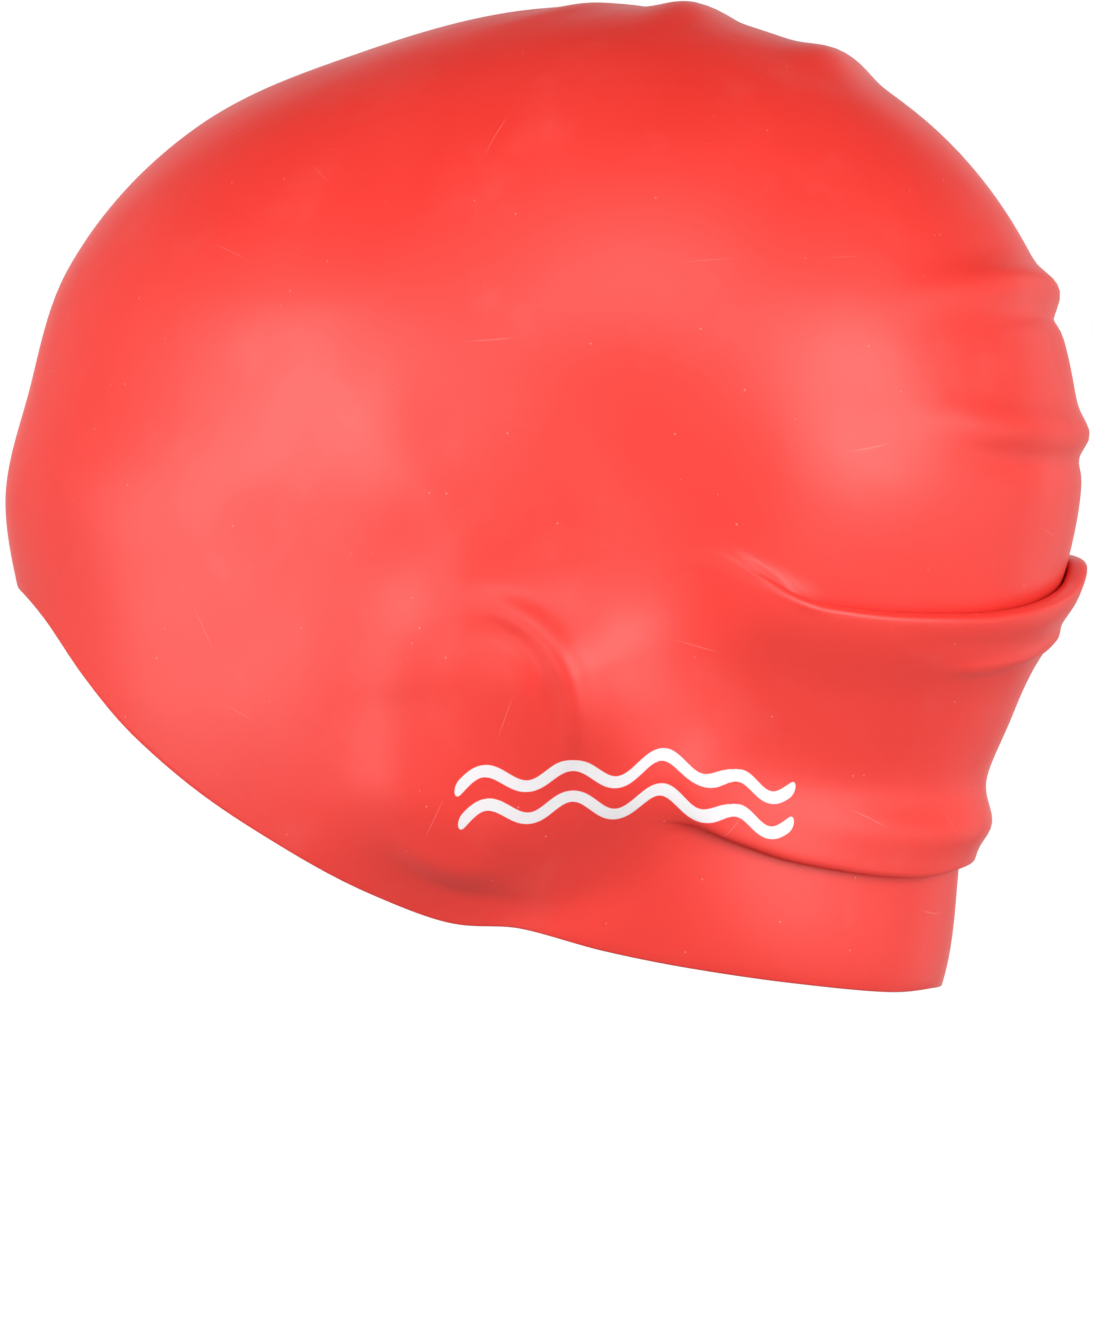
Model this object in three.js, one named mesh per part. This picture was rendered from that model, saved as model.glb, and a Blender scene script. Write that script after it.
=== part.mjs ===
// Swim cap of soft moulded silicone, in the form it takes when it is worn.
// One thin sheet follows the head from the brow to the nape and covers both ears.
// Two tucks lie across the back, where the loose sheet is folded over itself.
// Millimetres. The wearer faces -Y, their left is +X and up is +Z.
// The origin is on the inner face at the crown, where the top of the head seats.
// A direction is an azimuth from the brow round by the left ear, and a polar angle from straight up.
import * as THREE from "three";

// The head that fills the cap
const FRONT_REACH = 107.5;
const BACK_REACH = 94.5;
const HALF_WIDTH = 77.5;
const CROWN_HEIGHT = 91.4;
const LOWER_HEIGHT = 150;

// The sheet and its rim
const WALL = 1;
const BROW_DROP = 104.5;
const NAPE_DROP = 179;

// The two tucks
const BAND_HEIGHT = 21;
const TURN_RADIUS = 0.7;
const OVERLAP = 5;
const LEAST_OVERLAP = 1.2;
const EASE = 4;
const LIP_FLARE = 1.4;
const LIP_REACH = 12;
const ROLL_HEIGHT = 2.7;
const ROLL_RISE = 8.5;
const ROLL_REACH = 5.5;
const STEP_REACH = 13;

// The soft relief: ears, dents and folds
const EAR_HEIGHT = 5;
const EAR_REACH = 17;
const DENT_DEPTH = 3;
const DENT_REACH = 16;
const FOLD_HEIGHT = 2;
const FOLD_REACH = 4;

// How finely the sheet is divided
const COLUMNS = 54;
const CROWN_ROWS = 28;
const BEND_ROWS = 4;
const SIDE_ROWS = 9;
const BAND_ROWS = 3;
const FRONT_SPREAD = 8;
const SIDE_CROWD = 9;
const FOLD_STEPS = 12;
const LOWEST_POLAR = 165;
const HALVINGS = 30;
const SAMPLE = 0.5;

// Middle of the head, placed so that the inner face meets the origin at the crown
const HEAD_MIDDLE = new THREE.Vector3(0, 0, WALL / 2 - CROWN_HEIGHT);
const RED = new THREE.Color(0xe8352e);

// Share of the plain ellipsoid that the head reaches at each polar angle
const SKULL = [
  { polar: 0, brow: 1, temple: 1, ear: 1, quarter: 1, nape: 1 },
  { polar: 25, brow: 0.987, temple: 0.99, ear: 0.998, quarter: 1.016, nape: 1.02 },
  { polar: 45, brow: 1.018, temple: 1.01, ear: 1.008, quarter: 1.029, nape: 1.03 },
  { polar: 65, brow: 1.02, temple: 1.01, ear: 1.01, quarter: 1.02, nape: 1.02 },
  { polar: 78, brow: 0.995, temple: 0.995, ear: 1.005, quarter: 1.005, nape: 1.005 },
  { polar: 90, brow: 1.01, temple: 1.005, ear: 1, quarter: 0.99, nape: 0.99 },
  { polar: 102, brow: 0.985, temple: 0.985, ear: 0.985, quarter: 0.95, nape: 0.95 },
  { polar: 115, brow: 0.98, temple: 0.98, ear: 0.97, quarter: 0.9, nape: 0.9 },
  { polar: 130, brow: 0.96, temple: 0.96, ear: 0.94, quarter: 0.865, nape: 0.865 },
  { polar: 145, brow: 0.94, temple: 0.94, ear: 0.9, quarter: 0.93, nape: 0.935 },
];
const SKULL_AZIMUTHS = { brow: 0, temple: 40, ear: 90, quarter: 140, nape: 180 };

// The rim: share of the way down from BROW_DROP to NAPE_DROP, alike on both sides
const RIM = [
  { azimuth: 0, share: 0 },
  { azimuth: 16, share: 0.03 },
  { azimuth: 24, share: 0.1 },
  { azimuth: 32, share: 0.24 },
  { azimuth: 40, share: 0.385 },
  { azimuth: 50, share: 0.53 },
  { azimuth: 62, share: 0.655 },
  { azimuth: 73, share: 0.75 },
  { azimuth: 85, share: 0.82 },
  { azimuth: 98, share: 0.838 },
  { azimuth: 113, share: 0.89 },
  { azimuth: 127, share: 0.93 },
  { azimuth: 145, share: 0.97 },
  { azimuth: 165, share: 1 },
  { azimuth: 180, share: 1 },
];

// Edge of the lower tuck: its height above the rim as a share of BAND_HEIGHT
const LOWER_EDGE = [
  { azimuth: 0, share: 0.95 },
  { azimuth: 60, share: 0.8 },
  { azimuth: 84, share: 0.62 },
  { azimuth: 97, share: 0.6 },
  { azimuth: 107, share: 0.8 },
  { azimuth: 113, share: 1.05 },
  { azimuth: 119, share: 1.18 },
  { azimuth: 127, share: 1.18 },
  { azimuth: 143, share: 1.02 },
  { azimuth: 165, share: 0.99 },
  { azimuth: 190, share: 1.1 },
  { azimuth: 215, share: 1.14 },
  { azimuth: 232, share: 1.18 },
  { azimuth: 246, share: 1.08 },
  { azimuth: 256, share: 0.75 },
  { azimuth: 276, share: 0.62 },
  { azimuth: 300, share: 0.8 },
  { azimuth: 360, share: 0.95 },
];

// Lip of the upper tuck: its drop below the crown as a share of NAPE_DROP
const UPPER_LIP = [
  { azimuth: 0, share: 0.32 },
  { azimuth: 60, share: 0.5 },
  { azimuth: 80, share: 0.585 },
  { azimuth: 93, share: 0.605 },
  { azimuth: 105, share: 0.6 },
  { azimuth: 113, share: 0.575 },
  { azimuth: 121, share: 0.562 },
  { azimuth: 126, share: 0.564 },
  { azimuth: 131, share: 0.582 },
  { azimuth: 141, share: 0.614 },
  { azimuth: 160, share: 0.621 },
  { azimuth: 172, share: 0.612 },
  { azimuth: 184, share: 0.59 },
  { azimuth: 194, share: 0.563 },
  { azimuth: 215, share: 0.555 },
  { azimuth: 236, share: 0.56 },
  { azimuth: 255, share: 0.6 },
  { azimuth: 267, share: 0.605 },
  { azimuth: 280, share: 0.585 },
  { azimuth: 300, share: 0.5 },
  { azimuth: 360, share: 0.32 },
];

// Azimuths between which each tuck turns over, overlaps and swells
const SPELLS = {
  lowerTurn: { starts: 115, full: 132, fades: 222, ends: 244 },
  lowerLap: { starts: 132, full: 160, fades: 196, ends: 222 },
  lowerRoll: { starts: 130, full: 185, fades: 195, ends: 238 },
  upperTurn: { starts: 120, full: 143, fades: 214, ends: 236 },
  upperLap: { starts: 141, full: 165, fades: 195, ends: 216 },
  upperLip: { starts: 112, full: 165, fades: 195, ends: 240 },
};

// Soft rises and dents, each along an arc through three directions [azimuth, polar].
// Height and reach are shares of the sizes of the row's group. Power 2 is soft and 4 is flat-topped.
// Taper is the share of the arc's length over which each end dies away.
const SIZES = {
  ear: { height: EAR_HEIGHT, reach: EAR_REACH },
  dent: { height: -DENT_DEPTH, reach: DENT_REACH },
  fold: { height: FOLD_HEIGHT, reach: FOLD_REACH },
};
const RELIEF = [
  { form: "ear", group: "ear", pair: true, height: 1, reach: 1, power: 3, taper: 0,
    from: [95, 113.5], by: [95, 119], to: [93, 127] },
  { form: "cheek", group: "ear", pair: true, height: 0.55, reach: 1.15, power: 2, taper: 0,
    from: [80, 108], by: [79, 117], to: [79, 126] },
  { form: "bone behind the ear", group: "ear", pair: true, height: 1.1, reach: 0.75, power: 2, taper: 0,
    from: [108.5, 112.5], by: [111, 118.5], to: [115, 126] },
  { form: "from the ear to the temple", group: "ear", pair: true, height: 0.45, reach: 0.65, power: 2, taper: 0.4,
    from: [99, 106], by: [91, 93], to: [76, 76] },
  { form: "hollow behind the temple", group: "dent", pair: true, height: 1.2, reach: 1, power: 2, taper: 0.5,
    from: [98, 66], by: [117, 87], to: [134, 106] },
  { form: "rim of the ear", group: "fold", pair: true, height: 0.7, reach: 0.85, power: 2, taper: 0.3,
    from: [91.5, 103], by: [105.6, 109.5], to: [106.2, 127] },
  { form: "within the ear's rim", group: "fold", pair: true, height: -0.2, reach: 0.85, power: 2, taper: 0.3,
    from: [91, 107], by: [102.2, 112], to: [102, 125] },
  { form: "edge of the lobe", group: "fold", pair: true, height: 0.45, reach: 0.9, power: 2, taper: 0.35,
    from: [80, 129], by: [88, 135], to: [98, 134] },
  { form: "crease below the lobe", group: "fold", pair: true, height: -0.28, reach: 0.8, power: 2, taper: 0.3,
    from: [78, 131.5], by: [87.5, 138], to: [103, 139] },
  { form: "below the lobe", group: "fold", pair: true, height: -0.35, reach: 1.2, power: 2, taper: 0.35,
    from: [88, 141], by: [104, 140.5], to: [122, 135] },
  { form: "first ridge on the crown", group: "fold", height: 0.35, reach: 1, power: 2, taper: 0.35,
    from: [60, 22], by: [150, 5], to: [260, 20] },
  { form: "second ridge on the crown", group: "fold", height: 1.1, reach: 1.4, power: 2, taper: 0.35,
    from: [125, 24], by: [180, 14.5], to: [235, 24] },
  { form: "third ridge on the crown", group: "fold", height: 1.05, reach: 1.4, power: 2, taper: 0.35,
    from: [150, 36], by: [184, 31.5], to: [215, 38] },
  { form: "upper ripple at the back", group: "fold", height: 1.1, reach: 0.9, power: 2, taper: 0.35,
    from: [148, 68], by: [181, 66], to: [214, 69] },
  { form: "below the upper ripple", group: "fold", height: -0.65, reach: 0.8, power: 2, taper: 0.35,
    from: [155, 70.5], by: [181, 68.7], to: [208, 70.5] },
  { form: "lower ripple at the back", group: "fold", height: 0.9, reach: 1.05, power: 2, taper: 0.35,
    from: [145, 80.5], by: [176, 82.6], to: [210, 81] },
  { form: "below the lower ripple", group: "fold", height: -0.65, reach: 0.75, power: 2, taper: 0.35,
    from: [154, 85], by: [176, 85.6], to: [206, 83.5] },
];

function smooth(t) {
  const s = THREE.MathUtils.clamp(t, 0, 1);
  return s * s * (3 - 2 * s);
}

// 0 to 1 to 0 as the azimuth passes through a spell
function within(spell, azimuth) {
  const rise = smooth((azimuth - spell.starts) / (spell.full - spell.starts));
  return rise * smooth((spell.ends - azimuth) / (spell.ends - spell.fades));
}

// A soft bell: 1 at distance 0 and almost 0 at twice the reach
function bell(distance, reach, power = 2) {
  return Math.exp(-(Math.abs(distance / reach) ** power));
}

// Smooth curve through values at rising places, level at both ends
function curveThrough(places, values, x) {
  const last = places.length - 1;
  const at = THREE.MathUtils.clamp(x, places[0], places[last]);
  let i = 0;
  while (i < last - 1 && at >= places[i + 1]) i += 1;
  const slope = (k) => {
    if (k === 0 || k === last) return 0;
    return (values[k + 1] - values[k - 1]) / (places[k + 1] - places[k - 1]);
  };
  const h = places[i + 1] - places[i];
  const t = (at - places[i]) / h;
  const rise = t * t * (3 - 2 * t);
  const leave = t * (1 - t) ** 2;
  const arrive = t * t * (t - 1);
  return values[i] * (1 - rise) + values[i + 1] * rise + h * (leave * slope(i) + arrive * slope(i + 1));
}

function lineShare(rows, azimuth) {
  return curveThrough(rows.map((row) => row.azimuth), rows.map((row) => row.share), azimuth);
}

// Azimuth folded to 0 at the brow and 180 at the nape, alike on both sides
function fromBrow(azimuth) {
  return Math.abs(THREE.MathUtils.euclideanModulo(azimuth + 180, 360) - 180);
}

function skullShare(azimuth, polar) {
  const places = Object.values(SKULL_AZIMUTHS);
  const names = Object.keys(SKULL_AZIMUTHS);
  const side = fromBrow(azimuth);
  const shares = SKULL.map((row) => curveThrough(places, names.map((name) => row[name]), side));
  return curveThrough(SKULL.map((row) => row.polar), shares, polar);
}

// Point of the smooth head in a direction
function headPoint(azimuth, polar) {
  const a = THREE.MathUtils.degToRad(azimuth);
  const p = THREE.MathUtils.degToRad(polar);
  const reach = Math.cos(a) > 0 ? FRONT_REACH : BACK_REACH;
  const height = Math.cos(p) > 0 ? CROWN_HEIGHT : LOWER_HEIGHT;
  const plan = (Math.cos(a) / reach) ** 2 + (Math.sin(a) / HALF_WIDTH) ** 2;
  const plain = 1 / Math.sqrt(Math.sin(p) ** 2 * plan + (Math.cos(p) / height) ** 2);
  const point = new THREE.Vector3(Math.sin(p) * Math.sin(a), -Math.sin(p) * Math.cos(a), Math.cos(p));
  return point.multiplyScalar(plain * skullShare(azimuth, polar)).add(HEAD_MIDDLE);
}

function headNormal(azimuth, polar) {
  const p = Math.max(polar, 2 * SAMPLE);
  const down = headPoint(azimuth, p + SAMPLE).sub(headPoint(azimuth, p - SAMPLE));
  const along = headPoint(azimuth + SAMPLE, p).sub(headPoint(azimuth - SAMPLE, p));
  return down.cross(along).normalize();
}

// Millimetres down the head for one degree of polar angle
function degreeLength(azimuth, polar) {
  return headPoint(azimuth, polar + SAMPLE).distanceTo(headPoint(azimuth, polar - SAMPLE)) / (2 * SAMPLE);
}

// Polar angle at which the head lies a given drop below the crown
function polarAtDrop(azimuth, drop) {
  let low = 0;
  let high = LOWEST_POLAR;
  for (let k = 0; k < HALVINGS; k += 1) {
    const middle = (low + high) / 2;
    if (headPoint(azimuth, middle).z < -drop) {
      high = middle;
    } else {
      low = middle;
    }
  }
  return (low + high) / 2;
}

// Points of a relief row's arc on the head, on the side given by 1 or -1
function reliefArc(row, side) {
  const points = [];
  for (let k = 0; k <= FOLD_STEPS; k += 1) {
    const t = k / FOLD_STEPS;
    const weights = [(1 - t) * (1 - 2 * t), 4 * t * (1 - t), t * (2 * t - 1)];
    const mix = (axis) => weights[0] * row.from[axis] + weights[1] * row.by[axis] + weights[2] * row.to[axis];
    points.push(headPoint(side * mix(0), mix(1)));
  }
  return points;
}

const RELIEF_ARCS = RELIEF.flatMap((row) => {
  const sides = row.pair ? [1, -1] : [1];
  return sides.map((side) => ({ row, points: reliefArc(row, side) }));
});

// Height of all the rises and dents at a point of the head
function reliefHeight(point) {
  let height = 0;
  const nearest = new THREE.Vector3();
  const step = new THREE.Line3();
  for (const { row, points } of RELIEF_ARCS) {
    let distance = Infinity;
    let where = 0;
    for (let k = 0; k < points.length - 1; k += 1) {
      step.set(points[k], points[k + 1]);
      const t = step.closestPointToPointParameter(point, true);
      const away = step.at(t, nearest).distanceTo(point);
      if (away < distance) {
        distance = away;
        where = (k + t) / (points.length - 1);
      }
    }
    const taper = row.taper > 0 ? smooth(Math.min(where, 1 - where) / row.taper) : 1;
    const size = SIZES[row.group];
    height += size.height * row.height * taper * bell(distance, size.reach * row.reach, row.power);
  }
  return height;
}

// A point on a tuck's first bend, as lengths down the head and out of it from the tuck's middle
function bendPoint(turn, lap, part) {
  const end = Math.PI * turn;
  const now = end * part;
  return {
    down: (-lap / 2) * Math.cos(end) - TURN_RADIUS * (Math.sin(end) - Math.sin(now)),
    out: (-lap / 2) * Math.sin(end) - TURN_RADIUS * (Math.cos(now) - Math.cos(end)),
  };
}

// All rows across both bends of a tuck; the second bend is the first turned half round
function bendRows(turn, lap) {
  const rows = [];
  const count = 2 * BEND_ROWS;
  for (let j = 0; j < count; j += 1) {
    const first = j < BEND_ROWS;
    const part = (first ? j : count - 1 - j) / (BEND_ROWS - 1);
    const bend = bendPoint(turn, lap, part);
    const side = first ? 1 : -1;
    const spread = EASE * (1 - turn) * ((2 * j) / (count - 1) - 1);
    rows.push({ down: side * bend.down + spread, out: side * bend.out });
  }
  return rows;
}

// One line of the sheet from the crown to the rim, as polar angles and lengths out of the head
function sheetLine(azimuth) {
  const rimDrop = BROW_DROP + (NAPE_DROP - BROW_DROP) * lineShare(RIM, fromBrow(azimuth));
  const rimPolar = polarAtDrop(azimuth, rimDrop);
  const edgePolar = polarAtDrop(azimuth, rimDrop - BAND_HEIGHT * lineShare(LOWER_EDGE, azimuth));
  const lipPolar = polarAtDrop(azimuth, NAPE_DROP * lineShare(UPPER_LIP, azimuth));
  const edgeDegree = degreeLength(azimuth, edgePolar);
  const lipDegree = degreeLength(azimuth, lipPolar);

  const lowerTurn = within(SPELLS.lowerTurn, azimuth);
  const lowerLap = lowerTurn * THREE.MathUtils.lerp(LEAST_OVERLAP, OVERLAP, within(SPELLS.lowerLap, azimuth));
  const roll = ROLL_HEIGHT * within(SPELLS.lowerRoll, azimuth);
  const upperTurn = within(SPELLS.upperTurn, azimuth);
  const upperLap = upperTurn * THREE.MathUtils.lerp(LEAST_OVERLAP, OVERLAP, within(SPELLS.upperLap, azimuth));
  const flare = LIP_FLARE * within(SPELLS.upperLip, azimuth);

  // The upper tuck holds the sheet below it outermost, and the lower tuck the sheet above it
  const upperStep = -2 * bendPoint(upperTurn, upperLap, 0).out;
  const lowerStep = -2 * bendPoint(lowerTurn, lowerLap, 0).out;
  const upperMiddle = lipPolar + (upperLap / 2 + TURN_RADIUS * upperTurn) / lipDegree;
  const lowerMiddle = edgePolar - (lowerLap / 2 + TURN_RADIUS * lowerTurn) / edgeDegree;
  const rollAt = (above) => roll * bell(above - ROLL_RISE, ROLL_REACH);
  const upper = bendRows(upperTurn, upperLap).map((row, j) => ({
    polar: upperMiddle + row.down / lipDegree,
    out: row.out + upperStep / 2 + flare * smooth((j + 1 - BEND_ROWS) / (BEND_ROWS - 1)),
  }));
  const lower = bendRows(lowerTurn, lowerLap).map((row, j) => ({
    polar: lowerMiddle + row.down / edgeDegree,
    out: lowerStep / 2 - row.out + rollAt(0) * (1 - smooth(j / (BEND_ROWS - 1))),
  }));

  const line = [];
  for (let j = 0; j < CROWN_ROWS; j += 1) line.push({ polar: (upper[0].polar * j) / CROWN_ROWS, out: 0 });
  line.push(...upper);
  const top = upper.at(-1).polar;
  const bottom = lower[0].polar;
  for (let j = 1; j < SIDE_ROWS; j += 1) {
    const polar = THREE.MathUtils.lerp(top, bottom, j / SIDE_ROWS);
    const below = (polar - top) * lipDegree;
    const above = (bottom - polar) * edgeDegree;
    const lifted = (upperStep + flare) * bell(below, LIP_REACH) + lowerStep * bell(above, STEP_REACH);
    line.push({ polar, out: lifted + rollAt(above) });
  }
  line.push(...lower);
  const band = lower.at(-1).polar;
  for (let j = 1; j <= BAND_ROWS; j += 1) {
    line.push({ polar: THREE.MathUtils.lerp(band, rimPolar, j / BAND_ROWS), out: 0 });
  }
  return line;
}

// Middle of the sheet as rows of points. Columns lie closer together at the back and the ears.
function middleSheet() {
  const columns = [];
  for (let j = 0; j < COLUMNS; j += 1) {
    const round = (2 * Math.PI * j) / COLUMNS;
    const azimuth = (360 * j) / COLUMNS + FRONT_SPREAD * Math.sin(round) + SIDE_CROWD * Math.sin(2 * round);
    columns.push(sheetLine(azimuth).map(({ polar, out }) => {
      const point = headPoint(azimuth, polar);
      return point.clone().addScaledVector(headNormal(azimuth, polar), out + reliefHeight(point));
    }));
  }
  return columns[0].map((_, i) => columns.map((column) => column[i]));
}

function sheetNormals(rows) {
  const last = rows.length - 1;
  const normals = rows.map((row, i) => row.map((_, j) => {
    const down = rows[Math.min(i + 1, last)][j].clone().sub(rows[Math.max(i - 1, 0)][j]);
    const along = row[(j + 1) % COLUMNS].clone().sub(row[(j + COLUMNS - 1) % COLUMNS]);
    return down.cross(along).normalize();
  }));
  normals[0].fill(new THREE.Vector3(0, 0, 1));
  return normals;
}

// Closed shell: the outer face, the inner face and the rim between them
function shellGeometry(rows) {
  const normals = sheetNormals(rows);
  const positions = [];
  const triangles = [];
  const addFace = (side) => {
    const start = positions.length / 3;
    rows.forEach((row, i) => row.forEach((point, j) => {
      if (i === 0 && j > 0) return;
      positions.push(...point.clone().addScaledVector(normals[i][j], (side * WALL) / 2).toArray());
    }));
    return (i, j) => (i === 0 ? start : start + 1 + (i - 1) * COLUMNS + (j % COLUMNS));
  };
  const outer = addFace(1);
  const inner = addFace(-1);
  for (let j = 0; j < COLUMNS; j += 1) {
    triangles.push(outer(0, 0), outer(1, j), outer(1, j + 1));
    triangles.push(inner(0, 0), inner(1, j + 1), inner(1, j));
    for (let i = 1; i < rows.length - 1; i += 1) {
      triangles.push(outer(i, j), outer(i + 1, j), outer(i + 1, j + 1));
      triangles.push(outer(i, j), outer(i + 1, j + 1), outer(i, j + 1));
      triangles.push(inner(i, j), inner(i + 1, j + 1), inner(i + 1, j));
      triangles.push(inner(i, j), inner(i, j + 1), inner(i + 1, j + 1));
    }
    const rim = rows.length - 1;
    triangles.push(outer(rim, j), inner(rim, j), inner(rim, j + 1));
    triangles.push(outer(rim, j), inner(rim, j + 1), outer(rim, j + 1));
  }
  const geometry = new THREE.BufferGeometry();
  geometry.setAttribute("position", new THREE.Float32BufferAttribute(positions, 3));
  geometry.setIndex(triangles);
  geometry.computeVertexNormals();
  return geometry;
}

const silicone = new THREE.MeshStandardMaterial({ color: RED, roughness: 0.42, metalness: 0 });
const cap = new THREE.Mesh(shellGeometry(middleSheet()), silicone);
cap.name = "cap";

const group = new THREE.Group();
group.add(cap);

export default group;
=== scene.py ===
"""Swim cap of red silicone, as worn, on a pale studio floor.

Metres, in the frame of the CAD model: the wearer faces -Y, their left is +X, up is +Z, and the crown is
at the origin. A direction is an azimuth from the brow round by the left ear, and a polar angle from
straight up, both in degrees.
"""
import math

import bpy
import numpy as np
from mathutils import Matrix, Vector


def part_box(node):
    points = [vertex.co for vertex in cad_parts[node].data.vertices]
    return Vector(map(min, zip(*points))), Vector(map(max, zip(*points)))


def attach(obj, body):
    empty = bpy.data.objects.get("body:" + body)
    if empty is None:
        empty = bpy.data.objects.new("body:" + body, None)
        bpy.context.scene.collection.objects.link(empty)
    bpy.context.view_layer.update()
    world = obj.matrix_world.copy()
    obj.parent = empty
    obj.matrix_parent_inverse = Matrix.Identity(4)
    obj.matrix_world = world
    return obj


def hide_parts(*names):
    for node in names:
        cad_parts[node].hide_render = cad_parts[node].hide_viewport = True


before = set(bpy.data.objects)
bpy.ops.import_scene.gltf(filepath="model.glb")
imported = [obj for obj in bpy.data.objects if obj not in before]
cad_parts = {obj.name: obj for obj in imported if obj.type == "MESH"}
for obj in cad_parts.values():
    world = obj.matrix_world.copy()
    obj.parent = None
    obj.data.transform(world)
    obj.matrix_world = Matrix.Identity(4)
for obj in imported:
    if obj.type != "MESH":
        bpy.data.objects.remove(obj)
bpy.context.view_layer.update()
LOW, HIGH = (Vector(corner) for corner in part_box("cap"))


# The cap: one sheet of silicone rubber from the brow to the nape, over both ears, moulded in one shot over
# a core, so it has no seam. Two tucks cross the back: an open pocket with its lip up, and below it a fold
# with its edge down. It has the CAD solid's sizes and tables, with more rows and columns and a round rim.

# The head that fills the cap, from the CAD box and the shares that its tables reach
EAR_HEIGHT = 0.005
EAR_STAND = 0.75 * EAR_HEIGHT
FRONT_REACH = -LOW.y * 0.986
BACK_REACH = HIGH.y * 0.989
HALF_WIDTH = HIGH.x - EAR_STAND
CROWN_HEIGHT = 0.0914
LOWER_HEIGHT = 0.150

# The sheet, its rim and its tucks
WALL = 0.0009
BROW_DROP = 0.1045
NAPE_DROP = -LOW.z - 0.0002
BAND_HEIGHT = 0.021
TURN_RADIUS = 0.00065
OVERLAP = 0.005
LEAST_OVERLAP = 0.0012
EASE = 0.004
LIP_FLARE = 0.0014
LIP_REACH = 0.012
ROLL_HEIGHT = 0.0027
ROLL_RISE = 0.0085
ROLL_REACH = 0.0055
STEP_REACH = 0.013

# The soft relief
EAR_REACH = 0.017
DENT_DEPTH = 0.003
DENT_REACH = 0.016
FOLD_HEIGHT = 0.002
FOLD_REACH = 0.004

# How finely the sheet is divided
COLUMNS = 288
CROWN_ROWS = 100
BEND_ROWS = 9
SIDE_ROWS = 50
BAND_ROWS = 14
RIM_STEPS = 5
FRONT_SPREAD = 10.0
SIDE_CROWD = 9.0
ARC_STEPS = 16
LOWEST_POLAR = 165.0
HALVINGS = 30
SAMPLE = 0.5

# Share of the plain ellipsoid that the head reaches: polar angle, then brow, temple, ear, quarter, nape
SKULL_AZIMUTHS = (0, 40, 90, 140, 180)
SKULL = (
    (0, 1.0, 1.0, 1.0, 1.0, 1.0),
    (25, 0.987, 0.99, 0.998, 1.016, 1.02),
    (45, 1.018, 1.01, 1.008, 1.029, 1.03),
    (65, 1.02, 1.01, 1.01, 1.02, 1.02),
    (78, 0.995, 0.995, 1.005, 1.005, 1.005),
    (90, 1.01, 1.005, 1.0, 0.99, 0.99),
    (102, 0.985, 0.985, 0.985, 0.95, 0.95),
    (115, 0.98, 0.98, 0.97, 0.9, 0.9),
    (130, 0.96, 0.96, 0.94, 0.865, 0.865),
    (145, 0.94, 0.94, 0.9, 0.93, 0.935),
)

# Azimuth, and share of the way down from BROW_DROP to NAPE_DROP
RIM = (
    (0, 0.0), (16, 0.03), (24, 0.1), (32, 0.24), (40, 0.385), (50, 0.53), (62, 0.655), (73, 0.75),
    (85, 0.82), (98, 0.838), (113, 0.89), (127, 0.93), (145, 0.97), (165, 1.0), (180, 1.0),
)

# Azimuth, and height of the lower tuck's edge above the rim as a share of BAND_HEIGHT
LOWER_EDGE = (
    (0, 0.95), (60, 0.8), (84, 0.62), (97, 0.6), (107, 0.8), (113, 1.05), (119, 1.18), (127, 1.18),
    (143, 1.02), (165, 0.99), (190, 1.1), (215, 1.14), (232, 1.18), (246, 1.08), (256, 0.75),
    (276, 0.62), (300, 0.8), (360, 0.95),
)

# Azimuth, and drop of the upper tuck's lip below the crown as a share of NAPE_DROP
UPPER_LIP = (
    (0, 0.32), (60, 0.5), (80, 0.585), (93, 0.605), (105, 0.6), (113, 0.575), (121, 0.562),
    (126, 0.564), (131, 0.582), (141, 0.614), (160, 0.621), (172, 0.612), (184, 0.59), (194, 0.563),
    (215, 0.555), (236, 0.56), (255, 0.6), (267, 0.605), (280, 0.585), (300, 0.5), (360, 0.32),
)

# Azimuths where each tuck starts, is full, fades and ends
LOWER_TURN = (115, 132, 222, 244)
LOWER_LAP = (132, 160, 196, 222)
LOWER_ROLL = (130, 185, 195, 238)
UPPER_TURN = (120, 143, 214, 236)
UPPER_LAP = (141, 165, 195, 216)
UPPER_FLARE = (112, 165, 195, 240)

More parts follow.
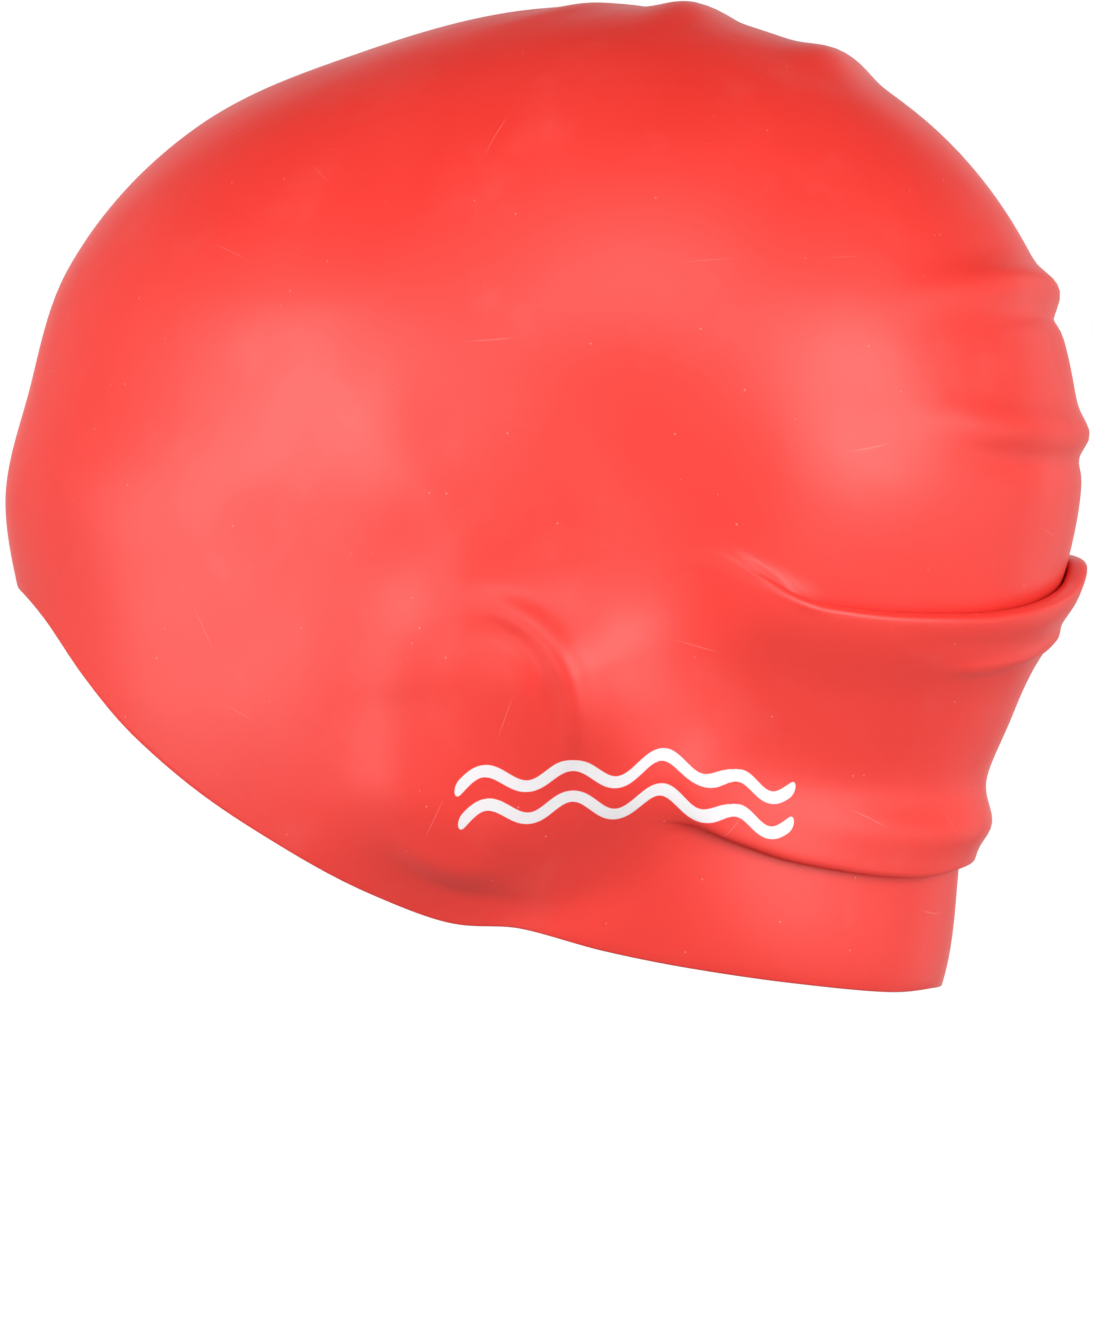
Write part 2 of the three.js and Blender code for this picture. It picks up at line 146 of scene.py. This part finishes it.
# Soft rises and dents: form, on both sides or not, height, reach, power, taper, and the three directions
# (azimuth, polar) that the arc passes through. Power 2 is soft and 4 is flat-topped.
RELIEF = (
    ("ear", True, EAR_HEIGHT, EAR_REACH, 3, 0,
     (95, 113.5), (95, 119), (93, 127)),
    ("cheek", True, 0.55 * EAR_HEIGHT, 1.15 * EAR_REACH, 2, 0,
     (80, 108), (79, 117), (79, 126)),
    ("bone behind the ear", True, 1.1 * EAR_HEIGHT, 0.75 * EAR_REACH, 2, 0,
     (108.5, 112.5), (111, 118.5), (115, 126)),
    ("from the ear to the temple", True, 0.45 * EAR_HEIGHT, 0.65 * EAR_REACH, 2, 0.4,
     (99, 106), (91, 93), (76, 76)),
    ("hollow behind the temple", True, -1.2 * DENT_DEPTH, DENT_REACH, 2, 0.5,
     (98, 66), (117, 87), (134, 106)),
    ("rim of the ear", True, 0.8 * FOLD_HEIGHT, 0.55 * FOLD_REACH, 2, 0.3,
     (91.5, 103), (105.8, 109.3), (106.6, 126)),
    ("within the ear's rim", True, -0.34 * FOLD_HEIGHT, 0.5 * FOLD_REACH, 2, 0.3,
     (93, 107), (102.8, 111), (103.8, 125)),
    ("edge of the lobe", True, 0.45 * FOLD_HEIGHT, 0.9 * FOLD_REACH, 2, 0.35,
     (80, 129), (88, 135), (98, 134)),
    ("crease below the lobe", True, -0.16 * FOLD_HEIGHT, 0.5 * FOLD_REACH, 2, 0.3,
     (78, 131.5), (87.5, 138), (103, 139)),
    ("below the lobe", True, -0.35 * FOLD_HEIGHT, 1.2 * FOLD_REACH, 2, 0.35,
     (88, 141), (104, 140.5), (122, 135)),
    ("first crown ridge", False, 0.35 * FOLD_HEIGHT, FOLD_REACH, 2, 0.35,
     (60, 22), (150, 5), (260, 20)),
    ("second crown ridge", False, 1.1 * FOLD_HEIGHT, 1.4 * FOLD_REACH, 2, 0.35,
     (125, 24), (180, 14.5), (235, 24)),
    ("third crown ridge", False, 1.05 * FOLD_HEIGHT, 1.4 * FOLD_REACH, 2, 0.35,
     (150, 36), (184, 31.5), (215, 38)),
    ("upper ripple", False, 1.1 * FOLD_HEIGHT, 0.9 * FOLD_REACH, 2, 0.35,
     (148, 68), (181, 66), (214, 69)),
    ("below the upper ripple", False, -0.65 * FOLD_HEIGHT, 0.6 * FOLD_REACH, 2, 0.35,
     (155, 70.5), (181, 68.7), (208, 70.5)),
    ("lower ripple", False, 0.9 * FOLD_HEIGHT, 0.9 * FOLD_REACH, 2, 0.35,
     (145, 80.5), (176, 82.6), (210, 81)),
    ("below the lower ripple", False, -0.6 * FOLD_HEIGHT, 0.6 * FOLD_REACH, 2, 0.35,
     (154, 85), (176, 85.6), (206, 83.5)),
    ("start of the pocket", False, 0.3 * FOLD_HEIGHT, 0.3 * FOLD_REACH, 2, 0.3,
     (127.5, 97.6), (134, 100.9), (141, 103.6)),
    ("below the lip", False, -0.25 * FOLD_HEIGHT, 0.6 * FOLD_REACH, 2, 0.35,
     (148, 106.6), (172, 105.4), (196, 100.7)),
    ("ridge below the lip", False, 0.42 * FOLD_HEIGHT, 0.28 * FOLD_REACH, 2, 0.3,
     (158, 110), (174, 107.8), (200, 102)),
)


def smooth(t):
    t = np.clip(t, 0, 1)
    return t * t * (3 - 2 * t)


def within(spell, azimuth):
    """0 to 1 to 0 as the azimuth passes through a spell."""
    starts, full, fades, ends = spell
    return smooth((azimuth - starts) / (full - starts)) * smooth((ends - azimuth) / (ends - fades))


def bell(distance, reach, power=2):
    return np.exp(-np.abs(distance / reach) ** power)


def curve_through(places, values, x):
    """Smooth curve through values at rising places, level at both ends. Values may have more axes."""
    places = np.asarray(places, float)
    values = np.asarray(values, float)
    x = np.clip(x, places[0], places[-1])
    if values.ndim == 1:
        values = np.broadcast_to(values.reshape((-1,) + (1,) * np.ndim(x)), (len(places),) + np.shape(x))
    slopes = np.zeros_like(values)
    spans = (places[2:] - places[:-2]).reshape((-1,) + (1,) * np.ndim(x))
    slopes[1:-1] = (values[2:] - values[:-2]) / spans
    i = np.clip(np.searchsorted(places, x, side="right") - 1, 0, len(places) - 2)
    h = places[i + 1] - places[i]
    t = (x - places[i]) / h
    rise = t * t * (3 - 2 * t)

    def pick(table, k):
        return np.take_along_axis(table, np.asarray(k)[None], 0)[0]

    ends = pick(values, i) * (1 - rise) + pick(values, i + 1) * rise
    return ends + h * (t * (1 - t) ** 2 * pick(slopes, i) + t * t * (t - 1) * pick(slopes, i + 1))


def line_share(rows, azimuth):
    return curve_through([row[0] for row in rows], [row[1] for row in rows], azimuth)


def from_brow(azimuth):
    """Azimuth folded to 0 at the brow and 180 at the nape, alike on both sides."""
    return np.abs((azimuth + 180) % 360 - 180)


def head_point(azimuth, polar):
    """Points of the smooth head in the given directions."""
    azimuth, polar = np.broadcast_arrays(np.asarray(azimuth, float), np.asarray(polar, float))
    side = from_brow(azimuth)
    shares = np.stack([curve_through(SKULL_AZIMUTHS, row[1:], side) for row in SKULL])
    share = curve_through([row[0] for row in SKULL], shares, polar)
    a, p = np.radians(azimuth), np.radians(polar)
    reach = np.where(np.cos(a) > 0, FRONT_REACH, BACK_REACH)
    height = np.where(np.cos(p) > 0, CROWN_HEIGHT, LOWER_HEIGHT)
    plan = (np.cos(a) / reach) ** 2 + (np.sin(a) / HALF_WIDTH) ** 2
    radius = share / np.sqrt(np.sin(p) ** 2 * plan + (np.cos(p) / height) ** 2)
    toward = np.stack([np.sin(p) * np.sin(a), -np.sin(p) * np.cos(a), np.cos(p)], -1)
    return toward * radius[..., None] + (0, 0, WALL / 2 - CROWN_HEIGHT)


def unit(vectors):
    return vectors / np.linalg.norm(vectors, axis=-1, keepdims=True)


def head_normal(azimuth, polar):
    p = np.maximum(polar, 2 * SAMPLE)
    down = head_point(azimuth, p + SAMPLE) - head_point(azimuth, p - SAMPLE)
    along = head_point(azimuth + SAMPLE, p) - head_point(azimuth - SAMPLE, p)
    return unit(np.cross(down, along))


def degree_length(azimuth, polar):
    """Metres down the head for one degree of polar angle."""
    step = head_point(azimuth, polar + SAMPLE) - head_point(azimuth, polar - SAMPLE)
    return np.linalg.norm(step, axis=-1) / (2 * SAMPLE)


def polar_at_drop(azimuth, drop):
    low, high = np.zeros_like(azimuth), np.full_like(azimuth, LOWEST_POLAR)
    for _ in range(HALVINGS):
        middle = (low + high) / 2
        below = head_point(azimuth, middle)[..., 2] < -drop
        low, high = np.where(below, low, middle), np.where(below, middle, high)
    return (low + high) / 2


def relief_height(points):
    """Height of all the rises and dents at points of the head."""
    total = np.zeros(points.shape[:-1])
    t = np.linspace(0, 1, ARC_STEPS + 1)[:, None]
    for _, pair, height, reach, power, taper, *marks in RELIEF:
        start, middle, end = np.array(marks, float)
        arc = (1 - t) * (1 - 2 * t) * start + 4 * t * (1 - t) * middle + t * (2 * t - 1) * end
        for side in ((1, -1) if pair else (1,)):
            path = head_point(side * arc[:, 0], arc[:, 1])
            nearest = np.full(total.shape, np.inf)
            where = np.zeros(total.shape)
            for k in range(ARC_STEPS):
                step = path[k + 1] - path[k]
                share = np.clip((points - path[k]) @ step / (step @ step), 0, 1)
                away = np.linalg.norm(points - path[k] - share[..., None] * step, axis=-1)
                closer = away < nearest
                nearest = np.where(closer, away, nearest)
                where = np.where(closer, (k + share) / ARC_STEPS, where)
            ends = smooth(np.minimum(where, 1 - where) / taper) if taper else 1.0
            total += height * ends * bell(nearest, reach, power)
    return total


def bend_rows(turn, lap):
    """Rows across both bends of a tuck, as lengths down the head and out from the tuck's middle."""
    end = math.pi * turn
    count = 2 * BEND_ROWS
    for j in range(count):
        first = j < BEND_ROWS
        now = end * (j if first else count - 1 - j) / (BEND_ROWS - 1)
        down = -lap / 2 * np.cos(end) - TURN_RADIUS * (np.sin(end) - np.sin(now))
        out = -lap / 2 * np.sin(end) - TURN_RADIUS * (np.cos(now) - np.cos(end))
        side = 1 if first else -1
        yield side * down + EASE * (1 - turn) * (2 * j / (count - 1) - 1), side * out


def sheet_lines(azimuth):
    """Polar angle and length out of the head for each row, from the crown to the rim."""
    rim_drop = BROW_DROP + (NAPE_DROP - BROW_DROP) * line_share(RIM, from_brow(azimuth))
    rim_polar = polar_at_drop(azimuth, rim_drop)
    edge_polar = polar_at_drop(azimuth, rim_drop - BAND_HEIGHT * line_share(LOWER_EDGE, azimuth))
    lip_polar = polar_at_drop(azimuth, NAPE_DROP * line_share(UPPER_LIP, azimuth))
    edge_degree, lip_degree = degree_length(azimuth, edge_polar), degree_length(azimuth, lip_polar)

    lower_turn, upper_turn = within(LOWER_TURN, azimuth), within(UPPER_TURN, azimuth)
    lower_lap = lower_turn * (LEAST_OVERLAP + (OVERLAP - LEAST_OVERLAP) * within(LOWER_LAP, azimuth))
    upper_lap = upper_turn * (LEAST_OVERLAP + (OVERLAP - LEAST_OVERLAP) * within(UPPER_LAP, azimuth))
    flare = LIP_FLARE * within(UPPER_FLARE, azimuth)
    roll = ROLL_HEIGHT * within(LOWER_ROLL, azimuth)

    upper_rows, lower_rows = list(bend_rows(upper_turn, upper_lap)), list(bend_rows(lower_turn, lower_lap))
    upper_step, lower_step = -2 * upper_rows[0][1], -2 * lower_rows[0][1]
    upper_middle = lip_polar + (upper_lap / 2 + TURN_RADIUS * upper_turn) / lip_degree
    lower_middle = edge_polar - (lower_lap / 2 + TURN_RADIUS * lower_turn) / edge_degree
    level = np.zeros_like(azimuth)
    rows = []
    top = upper_middle + upper_rows[0][0] / lip_degree
    for j in range(CROWN_ROWS):
        rows.append((top * j / CROWN_ROWS, level))
    for j, (down, out) in enumerate(upper_rows):
        opened = flare * smooth((j + 1 - BEND_ROWS) / (BEND_ROWS - 1))
        rows.append((upper_middle + down / lip_degree, out + upper_step / 2 + opened))
    top, bottom = rows[-1][0], lower_middle + lower_rows[0][0] / edge_degree
    for j in range(1, SIDE_ROWS):
        polar = top + (bottom - top) * j / SIDE_ROWS
        below, above = (polar - top) * lip_degree, (bottom - polar) * edge_degree
        out = (upper_step + flare) * bell(below, LIP_REACH) + lower_step * bell(above, STEP_REACH)
        rows.append((polar, out + roll * bell(above - ROLL_RISE, ROLL_REACH)))
    at_edge = roll * bell(ROLL_RISE, ROLL_REACH)
    for j, (down, out) in enumerate(lower_rows):
        settled = at_edge * (1 - smooth(j / (BEND_ROWS - 1)))
        rows.append((lower_middle + down / edge_degree, lower_step / 2 - out + settled))
    band = rows[-1][0]
    for j in range(1, BAND_ROWS + 1):
        rows.append((band + (rim_polar - band) * j / BAND_ROWS, level))
    polar, out = (np.stack(values) for values in zip(*rows))
    return polar, out


def cap_mesh():
    """The closed shell, with the sheet's own lengths kept as UVs for what is printed on it."""
    round_ = 2 * math.pi * np.arange(COLUMNS) / COLUMNS
    azimuth = np.degrees(round_) + FRONT_SPREAD * np.sin(round_) + SIDE_CROWD * np.sin(2 * round_)
    polar, out = sheet_lines(azimuth)
    across = np.broadcast_to(azimuth, polar.shape)
    head = head_point(across, polar)
    middle = head + head_normal(across, polar) * (out + relief_height(head))[..., None]

    down = np.gradient(middle, axis=0)
    along = np.roll(middle, -1, 1) - np.roll(middle, 1, 1)
    normal = np.cross(down, along)
    normal[0] = (0, 0, 1)
    normal = unit(normal)

    # Both faces row by row, joined round the rim by a half circle. The inner face keeps every bend's rows
    # and every second row between them.
    tucks = (CROWN_ROWS, CROWN_ROWS + 2 * BEND_ROWS + SIDE_ROWS - 1)
    kept = [i % 2 == 0 or i == len(middle) - 1 for i in range(len(middle))]
    for start in tucks:
        kept[start - 1:start + 2 * BEND_ROWS + 1] = [True] * (2 * BEND_ROWS + 2)
    over = unit(down[-1])
    sections = [middle[i] + normal[i] * WALL / 2 for i in range(len(middle))]
    for k in range(1, RIM_STEPS):
        turn = math.pi * k / RIM_STEPS
        sections.append(middle[-1] + WALL / 2 * (normal[-1] * math.cos(turn) + over * math.sin(turn)))
    inner = [i for i in reversed(range(len(middle))) if kept[i]]
    sections += [middle[i] - normal[i] * WALL / 2 for i in inner]
    points = np.concatenate([sections[0][:1], np.concatenate(sections[1:-1]), sections[-1][:1]])

    steps = np.linalg.norm(np.diff(middle, axis=0), axis=-1)
    height = np.concatenate([np.cumsum(steps[::-1], 0)[::-1], np.zeros((1, COLUMNS))])
    heights = np.concatenate([height, np.zeros((RIM_STEPS - 1, COLUMNS)), -height[inner]])

    rings = len(sections) - 2
    last = 1 + rings * COLUMNS
    faces, corners = [], []

    def corner(ring, column):
        if ring == 0:
            index = 0
        elif ring > rings:
            index = last
        else:
            index = 1 + (ring - 1) * COLUMNS + column % COLUMNS
        turn = azimuth[column % COLUMNS] + (360 if column == COLUMNS else 0)
        return index, (turn, heights[ring, column % COLUMNS])

    for column in range(COLUMNS):
        for ring in range(rings + 1):
            square = [corner(ring, column), corner(ring + 1, column), corner(ring + 1, column + 1)]
            if 0 < ring < rings:
                square.append(corner(ring, column + 1))
            elif ring == rings:
                square = [corner(ring, column), corner(ring + 1, column), corner(ring, column + 1)]
            faces.append([index for index, _ in square])
            corners.extend(place for _, place in square)
    mesh = bpy.data.meshes.new("cap_sheet")
    mesh.from_pydata(points.tolist(), [], faces)
    layer = mesh.uv_layers.new(name="sheet")
    degree = math.radians(1) * HALF_WIDTH
    scale = np.array([degree, 1.0])
    layer.data.foreach_set("uv", (np.array(corners) * scale).ravel())
    mesh.polygons.foreach_set("use_smooth", [True] * len(faces))
    mesh.validate()
    return mesh


cap = bpy.data.objects.new("cap_sheet", cap_mesh())
bpy.context.scene.collection.objects.link(cap)

# The print on the left side, as lengths round and up the sheet from the middle of the brow at the rim
PRINT_START = math.radians(92) * HALF_WIDTH
PRINT_LENGTH = 0.066
PRINT_RISE = 0.0245
PRINT_SLOPE = 0.17
WAVES = 2
WAVE_SPACING = 0.0062
WAVE_LENGTH = 0.0165
WAVE_HEIGHT = 0.0019
WAVE_WIDTH = 0.0022


def linear(code):
    """A colour written as sRGB hex, as the linear RGBA that a shader takes."""
    shares = [int(code[k:k + 2], 16) / 255 for k in (1, 3, 5)]
    return (*[s / 12.92 if s <= 0.04045 else ((s + 0.055) / 1.055) ** 2.4 for s in shares], 1.0)


def add(tree, kind, inputs=None, **settings):
    """Adds a node with its settings, and gives each named input a value or a link."""
    made = tree.nodes.new(kind)
    for name, value in settings.items():
        setattr(made, name, value)
    for name, value in (inputs or {}).items():
        if isinstance(value, bpy.types.NodeSocket):
            tree.links.new(value, made.inputs[name])
        else:
            made.inputs[name].default_value = value
    return made


# What shows on the rubber, as lengths in metres, and the shares of the scattered places that have a mark
CLOUD_SIZE = 0.045
BLOOM_SIZE = 0.018
SPECK_SPACING = 0.0026
SPECK_SHARE = 0.12
SPECK_CORE = 0.00012
SPECK_EDGE = 0.00022
SCUFF_SPACING = 0.017
SCUFF_SHARE = 0.45
SCUFF_CORE = 0.00004
SCUFF_EDGE = 0.0001
SCUFF_FULL = 0.002
SCUFF_END = 0.005
INK_BLUR = 0.00006
GRAIN_SIZE = 0.0006
GRAIN_DEPTH = 0.000012
SWELL_SIZE = 0.012
SWELL_DEPTH = 0.00012
SHINE_SIZE = 0.02


def silicone():
    """Silicone rubber from a fine-blasted mould: dense red with a broad soft shine, a little cloudy, and
    with the specks of dust and hairline scuffs that cling to it."""
    material = bpy.data.materials.new("satin_red_silicone")
    material.use_nodes = True
    tree = material.node_tree
    tree.nodes.clear()
    place = add(tree, "ShaderNodeTexCoord").outputs["Object"]

    def noise(size, detail=2.0, roughness=0.5, stretch=(1, 1, 1), turn=(0, 0, 0)):
        """Noise with features of about the given size in metres."""
        moved = add(tree, "ShaderNodeMapping", {"Vector": place, "Scale": stretch, "Rotation": turn})
        inputs = {"Vector": moved.outputs[0], "Scale": 1 / size, "Detail": detail, "Roughness": roughness}
        return add(tree, "ShaderNodeTexNoise", inputs).outputs["Fac"]

    def ramp(value, low, high, start=0.0, end=1.0):
        inputs = {"Value": value, "From Min": low, "From Max": high, "To Min": start, "To Max": end}
        return add(tree, "ShaderNodeMapRange", inputs).outputs["Result"]

    def maths(operation, *values):
        made = add(tree, "ShaderNodeMath", operation=operation)
        for k, value in enumerate(values):
            if isinstance(value, bpy.types.NodeSocket):
                tree.links.new(value, made.inputs[k])
            else:
                made.inputs[k].default_value = value
        return made.outputs[0]

    def mix(share, low, high):
        made = add(tree, "ShaderNodeMix", data_type="RGBA")
        for name, value in ((0, share), (6, low), (7, high)):
            if isinstance(value, bpy.types.NodeSocket):
                tree.links.new(value, made.inputs[name])
            else:
                made.inputs[name].default_value = value
        return made.outputs[2]

    # Colour: two close reds in slow clouds, then a faint pale bloom
    clouds = ramp(noise(CLOUD_SIZE, detail=3), 0.35, 0.65)
    bloom = ramp(noise(BLOOM_SIZE, detail=5, roughness=0.6), 0.56, 0.78, 0.0, 0.05)
    red = mix(clouds, linear("#E3332B"), linear("#E9372F"))
    red = mix(bloom, red, linear("#F0A8A4"))

    # Specks of dust about 0.3 mm across, sparse and uneven
    def scattered(spacing, share):
        """The way from the nearest scattered point, its random colour, and whether it is chosen."""
        cells = add(tree, "ShaderNodeTexVoronoi", {"Vector": place, "Scale": 1 / spacing})
        ends = {0: place, 1: cells.outputs["Position"]}
        away = add(tree, "ShaderNodeVectorMath", ends, operation="SUBTRACT")
        chance = add(tree, "ShaderNodeSeparateColor", {"Color": cells.outputs["Color"]}).outputs[2]
        return away.outputs[0], cells.outputs["Color"], maths("LESS_THAN", chance, share)

    away, _, chosen = scattered(SPECK_SPACING, SPECK_SHARE)
    length = add(tree, "ShaderNodeVectorMath", {0: away}, operation="LENGTH").outputs["Value"]
    speck = maths("MULTIPLY", ramp(length, SPECK_CORE, SPECK_EDGE, 1.0, 0.0), chosen)

    # Hairline scuffs up to 10 mm long: where a thin slab through a cell's middle cuts the sheet
    away, colour, chosen = scattered(SCUFF_SPACING, SCUFF_SHARE)
    ends = {0: colour, 1: (0.5, 0.5, 0.5)}
    slab = add(tree, "ShaderNodeVectorMath", ends, operation="SUBTRACT").outputs[0]
    slab = add(tree, "ShaderNodeVectorMath", {0: slab}, operation="NORMALIZE").outputs[0]
    off = add(tree, "ShaderNodeVectorMath", {0: away, 1: slab}, operation="DOT_PRODUCT").outputs["Value"]
    off = maths("ABSOLUTE", off)
    length = add(tree, "ShaderNodeVectorMath", {0: away}, operation="LENGTH").outputs["Value"]
    thin = ramp(off, SCUFF_CORE, SCUFF_EDGE, 1.0, 0.0)
    short = ramp(length, SCUFF_FULL, SCUFF_END, 1.0, 0.0)
    scuff = maths("MULTIPLY", maths("MULTIPLY", thin, short), chosen)
    marks = maths("MAXIMUM", maths("MULTIPLY", speck, 0.3), maths("MULTIPLY", scuff, 0.13))
    red = mix(marks, red, linear("#F8CCC8"))

    # The print: two white waves, one above the other, over the ear and into the lower tuck
    sheet = add(tree, "ShaderNodeUVMap", uv_map="sheet").outputs[0]
    sheet = add(tree, "ShaderNodeSeparateXYZ", {"Vector": sheet})
    along = maths("SUBTRACT", sheet.outputs[0], PRINT_START)
    turn = maths("MULTIPLY", along, 2 * math.pi / WAVE_LENGTH)
    line = maths("MULTIPLY_ADD", maths("SINE", turn), WAVE_HEIGHT, PRINT_RISE)
    line = maths("MULTIPLY_ADD", along, PRINT_SLOPE, line)
    steep = maths("MULTIPLY", maths("COSINE", turn), 2 * math.pi * WAVE_HEIGHT / WAVE_LENGTH)
    stretch = maths("SQRT", maths("MULTIPLY_ADD", steep, steep, 1.0))
    above = maths("SUBTRACT", sheet.outputs[1], line)
    beyond = maths("ABSOLUTE", maths("SUBTRACT", along, PRINT_LENGTH / 2))
    beyond = maths("MAXIMUM", maths("SUBTRACT", beyond, PRINT_LENGTH / 2), 0.0)
    ink = None
    for k in range(WAVES):
        off = maths("DIVIDE", maths("SUBTRACT", above, k * WAVE_SPACING), stretch)
        off = maths("SQRT", maths("MULTIPLY_ADD", off, off, maths("MULTIPLY", beyond, beyond)))
        wave = ramp(off, WAVE_WIDTH / 2 - INK_BLUR, WAVE_WIDTH / 2 + INK_BLUR, 1.0, 0.0)
        ink = wave if ink is None else maths("MAXIMUM", ink, wave)
    red = mix(ink, red, linear("#E9E4E6"))

    # Satin surface with a fine mould grain and slow unevenness
    grain = noise(GRAIN_SIZE, detail=2)
    swell = noise(SWELL_SIZE, detail=2)
    bump = add(tree, "ShaderNodeBump", {"Height": grain, "Strength": 1.0, "Distance": GRAIN_DEPTH})
    bump = add(tree, "ShaderNodeBump", {
        "Height": swell, "Strength": 1.0, "Distance": SWELL_DEPTH, "Normal": bump.outputs[0]})
    shine = ramp(noise(SHINE_SIZE, detail=3), 0.3, 0.7, 0.40, 0.47)
    roughness = maths("ADD", shine, maths("MULTIPLY", marks, 0.2))

    surface = add(tree, "ShaderNodeBsdfPrincipled", {
        "Base Color": red, "Roughness": roughness, "Normal": bump.outputs[0], "IOR": 1.43,
        "Specular IOR Level": 0.65,
        "Subsurface Weight": 0.12, "Subsurface Radius": (1.0, 0.25, 0.2), "Subsurface Scale": 0.003})
    add(tree, "ShaderNodeOutputMaterial", {"Surface": surface.outputs[0]})
    return material


cap.data.materials.append(silicone())
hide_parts("cap")
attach(cap, "root")


# The studio: a pale painted floor below the cap. It curves up into a wall all round, so that no edge shows
# behind the cap.
FLOOR_DROP = 0.30
FLOOR_RADIUS = 3.5
COVE_RADIUS = 1.0
WALL_HEIGHT = 3.0
COVE_STEPS = 12
COVE_SEGMENTS = 96


def studio_mesh():
    middle = (LOW + HIGH) / 2
    floor = LOW.z - FLOOR_DROP
    profile = [(0.0, floor), (FLOOR_RADIUS - COVE_RADIUS, floor)]
    for k in range(1, COVE_STEPS + 1):
        turn = math.pi / 2 * k / COVE_STEPS
        out = FLOOR_RADIUS - COVE_RADIUS + COVE_RADIUS * math.sin(turn)
        profile.append((out, floor + COVE_RADIUS * (1 - math.cos(turn))))
    profile.append((FLOOR_RADIUS, floor + WALL_HEIGHT))
    points, faces = [(middle.x, middle.y, floor)], []
    for out, height in profile[1:]:
        for k in range(COVE_SEGMENTS):
            turn = 2 * math.pi * k / COVE_SEGMENTS
            points.append((middle.x + out * math.cos(turn), middle.y + out * math.sin(turn), height))
    for k in range(COVE_SEGMENTS):
        after = (k + 1) % COVE_SEGMENTS
        faces.append((0, 1 + k, 1 + after))
        for ring in range(len(profile) - 2):
            near, far = 1 + ring * COVE_SEGMENTS, 1 + (ring + 1) * COVE_SEGMENTS
            faces.append((near + k, far + k, far + after, near + after))
    mesh = bpy.data.meshes.new("studio_floor")
    mesh.from_pydata(points, [], faces)
    mesh.polygons.foreach_set("use_smooth", [True] * len(faces))
    return mesh


def studio_paint():
    """Matt white paint that shows as plain white, and lights the cap only as a dimly lit wall does."""
    material = bpy.data.materials.new("matt_white_paint")
    material.use_nodes = True
    tree = material.node_tree
    tree.nodes.clear()
    seen = add(tree, "ShaderNodeEmission", {"Color": linear("#FFFFFF"), "Strength": 1.0})
    matt = add(tree, "ShaderNodeBsdfDiffuse", {"Color": linear("#8C8C8C")})
    glow = add(tree, "ShaderNodeEmission", {"Color": linear("#FFFFFF"), "Strength": 0.2})
    unseen = add(tree, "ShaderNodeAddShader", {0: matt.outputs[0], 1: glow.outputs[0]})
    rays = add(tree, "ShaderNodeLightPath")
    shares = {0: rays.outputs["Is Camera Ray"], 1: unseen.outputs[0], 2: seen.outputs[0]}
    paint = add(tree, "ShaderNodeMixShader", shares)
    add(tree, "ShaderNodeOutputMaterial", {"Surface": paint.outputs[0]})
    return material


studio = bpy.data.objects.new("studio_floor", studio_mesh())
bpy.context.scene.collection.objects.link(studio)
studio.data.materials.append(studio_paint())


# The lights: soft boxes before the brow, at the side, overhead, behind and low down, which give the near
# side its broad soft shine, and dimmer ones on the far side, in a dim white room.
LIGHT_DISTANCE = 1.1
LIGHTS = (
    # name, azimuth, elevation, width, height, power
    ("brow_softbox", 47, 18, 0.45, 0.45, 4.3),
    ("low_front_softbox", 27, -9, 0.5, 0.7, 4.4),
    ("side_softbox", 75, 0, 0.4, 1.0, 2.7),
    ("top_softbox", 107, 38, 0.8, 0.8, 5.2),
    ("back_softbox", 156, 9, 0.7, 0.8, 9.0),
    ("low_back_softbox", 190, -14, 0.8, 0.8, 1.6),
    ("rear_softbox", 235, -4, 0.5, 1.2, 1.3),
    ("right_softbox", 287, 10, 1.2, 1.2, 3.0),
    ("far_softbox", -25, 5, 0.5, 1.2, 0.4),
)


def toward(azimuth, elevation):
    """Unit vector from the cap to a place seen at this azimuth and elevation."""
    a, e = math.radians(azimuth), math.radians(elevation)
    return Vector((math.sin(a) * math.cos(e), -math.cos(a) * math.cos(e), math.sin(e)))


for name, azimuth, elevation, width, height, power in LIGHTS:
    lamp = bpy.data.lights.new(name, "AREA")
    lamp.shape = "RECTANGLE"
    lamp.size = width
    lamp.size_y = height
    lamp.energy = power
    light = bpy.data.objects.new(name, lamp)
    light.location = (LOW + HIGH) / 2 + toward(azimuth, elevation) * LIGHT_DISTANCE
    light.rotation_euler = toward(azimuth, elevation).to_track_quat("Z", "Y").to_euler()
    light.visible_camera = False
    bpy.context.scene.collection.objects.link(light)

world = bpy.data.worlds.new("pale_room")
world.use_nodes = True
world.node_tree.nodes["Background"].inputs["Color"].default_value = linear("#FFFFFF")
world.node_tree.nodes["Background"].inputs["Strength"].default_value = 0.03
bpy.context.scene.world = world
bpy.context.scene.view_settings.view_transform = "Standard"


# The camera: level with the cap, on the wearer's left and a little behind, as in the photograph. A long
# lens keeps the photograph's flat look.
CAMERA_AZIMUTH = 108.0
CAMERA_DISTANCE = 1.3
FRAME_PIXELS = (1094, 1338)
PIXEL = 0.000185
CROWN_PIXEL = (575, 13)
SENSOR = 36.0

camera_data = bpy.data.cameras.new("camera")
camera_data.sensor_width = SENSOR
camera_data.lens = SENSOR * CAMERA_DISTANCE / (FRAME_PIXELS[1] * PIXEL)
camera = bpy.data.objects.new("camera", camera_data)
back = toward(CAMERA_AZIMUTH, 0)
aside = Vector((0, 0, 1)).cross(back)
target = aside * (FRAME_PIXELS[0] / 2 - CROWN_PIXEL[0]) * PIXEL
target.z = -(FRAME_PIXELS[1] / 2 - CROWN_PIXEL[1]) * PIXEL
camera.location = target + back * CAMERA_DISTANCE
camera.rotation_euler = back.to_track_quat("Z", "Y").to_euler()
bpy.context.scene.collection.objects.link(camera)
bpy.context.scene.camera = camera
